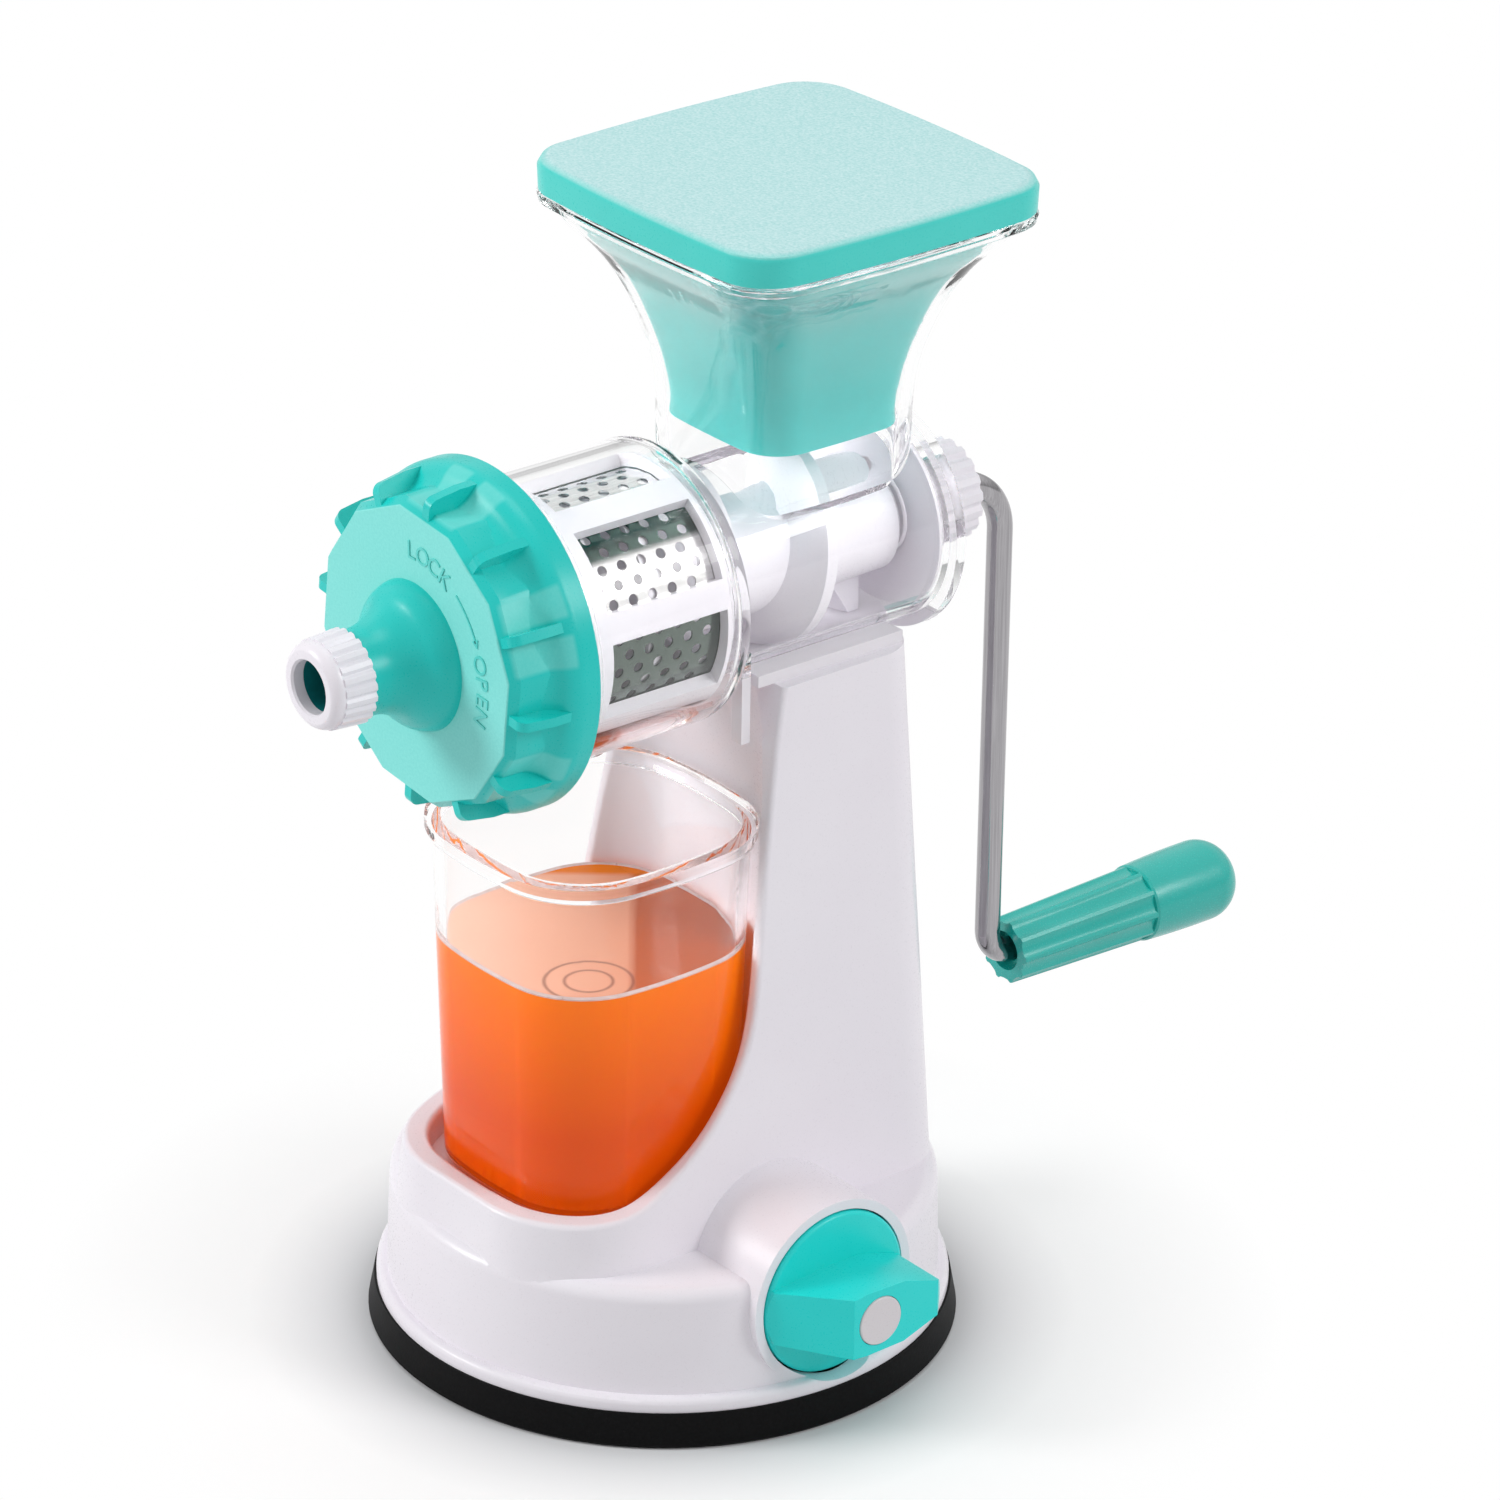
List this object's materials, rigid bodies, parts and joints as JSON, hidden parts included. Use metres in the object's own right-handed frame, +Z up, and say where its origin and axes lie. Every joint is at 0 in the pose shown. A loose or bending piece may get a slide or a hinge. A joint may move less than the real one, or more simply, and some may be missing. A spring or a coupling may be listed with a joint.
{
  "type": "manual juicer",
  "caption": "Hand-cranked juicer: clear stepped barrel with flared hopper, pusher, strainer and auger on a white suction base, teal cap, knob and grip, rounded-square juice jar.",
  "frame": {"origin": "centre of the flat suction face under the base", "axes": "+Z up; the barrel lies along Y with the pulp outlet towards -Y and the crank towards +Y; +X towards the vacuum knob"},
  "size_m": [0.1679, 0.3088, 0.313],
  "materials": {
    "white_plastic": "satin moulded",
    "teal_plastic": "satin moulded",
    "clear_plastic": "clear polycarbonate",
    "black_rubber": "matte",
    "grey_rubber": "matte",
    "polished_steel": "polished",
    "screen_steel": "perforated sheet"
  },
  "bodies": {
    "base": {"base_body": "white_plastic", "suction_cup": "black_rubber", "stem_disc": "screen_steel", "barrel": "clear_plastic", "rear_bush": "white_plastic", "shaft_seal": "grey_rubber", "strainer_cage": "white_plastic", "strainer_screen": "screen_steel"},
    "vacuum_knob": {"vacuum_knob": "teal_plastic", "knob_screw": "screen_steel", "knob_cap": "white_plastic", "cam_shaft": "screen_steel", "shaft_clip": "screen_steel"},
    "pull_stem": {"pull_stem": "white_plastic"},
    "crank": {"auger": "white_plastic", "auger_shaft": "polished_steel", "hub_nut": "white_plastic", "crank_arm": "polished_steel", "grip_retainer": "screen_steel"},
    "grip": {"crank_grip": "teal_plastic"},
    "front_cap": {"front_cap": "teal_plastic", "pulp_bell": "teal_plastic", "cap_gasket": "grey_rubber"},
    "outlet_nut": {"outlet_nut": "white_plastic"},
    "pusher": {"pusher_cup": "teal_plastic", "pusher_lid": "teal_plastic"},
    "jar": {"juice_jar": "clear_plastic"}
  },
  "joints": [
    {"name": "crank_turn", "type": "hinge", "parent": "base", "child": "crank", "pos_m": [0, 0, 0.2104], "axis": [0, 1, 0], "continuous": true},
    {"name": "grip_spin", "type": "hinge", "parent": "crank", "child": "grip", "pos_m": [0, 0.15, 0.0675], "axis": [0, 1, 0], "continuous": true},
    {"name": "cap_turn", "type": "hinge", "parent": "base", "child": "front_cap", "pos_m": [0, -0.07, 0.2104], "axis": [0, 1, 0], "range_deg": [0, 30]},
    {"name": "outlet_nut_turn", "type": "hinge", "parent": "front_cap", "child": "outlet_nut", "pos_m": [0, -0.1, 0.2104], "axis": [0, 1, 0], "continuous": true},
    {"name": "pusher_lift", "type": "slide", "parent": "base", "child": "pusher", "axis": [0, 0, 1], "range_m": [0, 0.06]},
    {"name": "jar_lift", "type": "slide", "parent": "base", "child": "jar", "axis": [0, 0, 1], "range_m": [0, 0.013]},
    {"name": "knob_turn", "type": "hinge", "parent": "base", "child": "vacuum_knob", "pos_m": [0.07, 0, 0.0342], "axis": [1, 0, 0], "range_deg": [0, 90]},
    {"name": "stem_lift", "type": "slide", "parent": "base", "child": "pull_stem", "axis": [0, 0, 1], "range_m": [0, 0.0026]}
  ],
  "couplings": [
    {"joint": "stem_lift", "follows": "knob_turn", "m_per_rad": 0.0015915}
  ]
}
